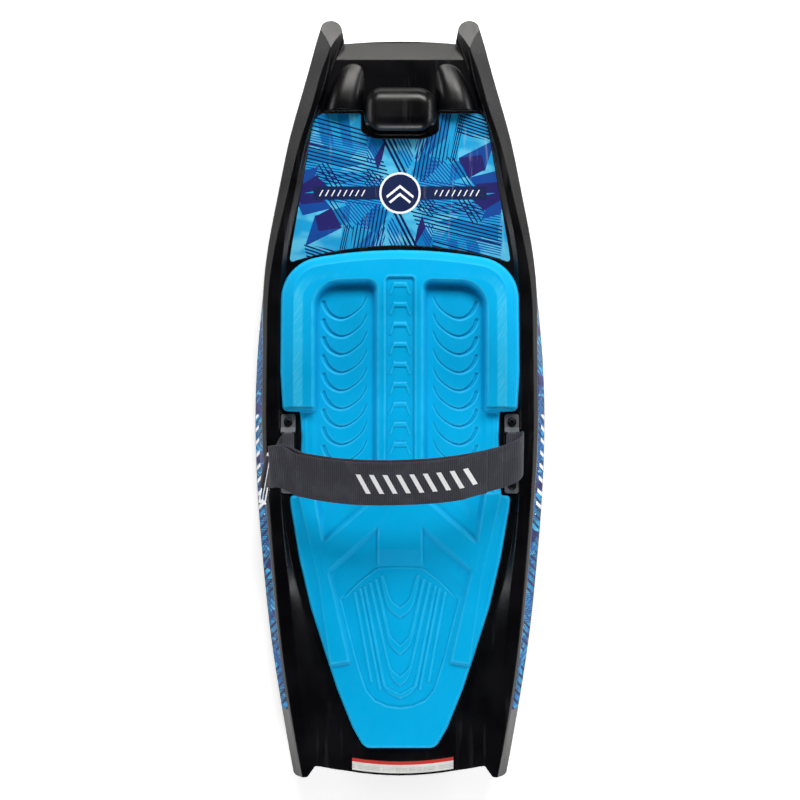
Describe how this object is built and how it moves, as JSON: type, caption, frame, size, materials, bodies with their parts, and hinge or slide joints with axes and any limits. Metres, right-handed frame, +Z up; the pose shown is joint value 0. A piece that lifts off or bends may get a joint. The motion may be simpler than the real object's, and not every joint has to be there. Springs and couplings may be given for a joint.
{
  "type": "kneeboard",
  "caption": "Kneeboard with a moulded hull and foam core, a contoured knee pad, a tow hook, hand grips and an adjustable webbing strap that swings over the thighs.",
  "frame": {"origin": "on the floor under the middle of the board, which lies flat with its deck up", "axes": "X to the board's right, +Y towards the nose, +Z up"},
  "size_m": [0.525, 1.35, 0.2126],
  "materials": {
    "hull_plastic": "black rotomoulded polyethylene, satin",
    "foam": "cream rigid polyurethane foam",
    "pad_foam": "bright blue moulded EVA foam, soft satin",
    "graphic_film": "printed blue film, glossy",
    "label_film": "grey and red label film",
    "bracket_plastic": "dark grey glass-filled nylon",
    "washer_plastic": "black domed washer",
    "screw_steel": "black coated steel",
    "insert_brass": "plain brass",
    "webbing": "black woven webbing",
    "tape": "black hook and loop tape",
    "buckle_steel": "polished stamped steel",
    "plug_plastic": "black plug"
  },
  "bodies": {
    "board": {"hull_shell": "hull_plastic", "foam_core": "foam", "fill_plug": "plug_plastic", "vent_plug": "plug_plastic", "knee_pad": "pad_foam", "nose_graphic": "graphic_film", "safety_label": "label_film", "rail_graphic_left": "graphic_film", "rail_graphic_right": "graphic_film", "strap_end_left": "webbing", "strap_end_right": "webbing", "anchor_webbing": "webbing", "strap_bracket_left": "bracket_plastic", "screw_washers_left": "washer_plastic", "bracket_screws_left": "screw_steel", "threaded_inserts_left": "insert_brass", "strap_bracket_right": "bracket_plastic", "screw_washers_right": "washer_plastic", "bracket_screws_right": "screw_steel", "threaded_inserts_right": "insert_brass"},
    "strap": {"strap_webbing": "webbing", "loop_tape": "tape", "hook_tape": "tape", "strap_return": "webbing"},
    "buckle": {"strap_buckle": "buckle_steel"}
  },
  "joints": [
    {"name": "strap_swing", "type": "hinge", "parent": "board", "child": "strap", "pos_m": [0, -0.096, 0.09175], "axis": [1, 0, 0], "range_deg": [-55, 25], "deforming": ["strap_end_left", "strap_end_right"]},
    {"name": "buckle_tilt", "type": "hinge", "parent": "board", "child": "buckle", "pos_m": [-0.24181, -0.13798, 0.10142], "axis": [0.1736, 0.9848, 0], "range_deg": [-15, 0], "deforming": ["anchor_webbing"]}
  ]
}
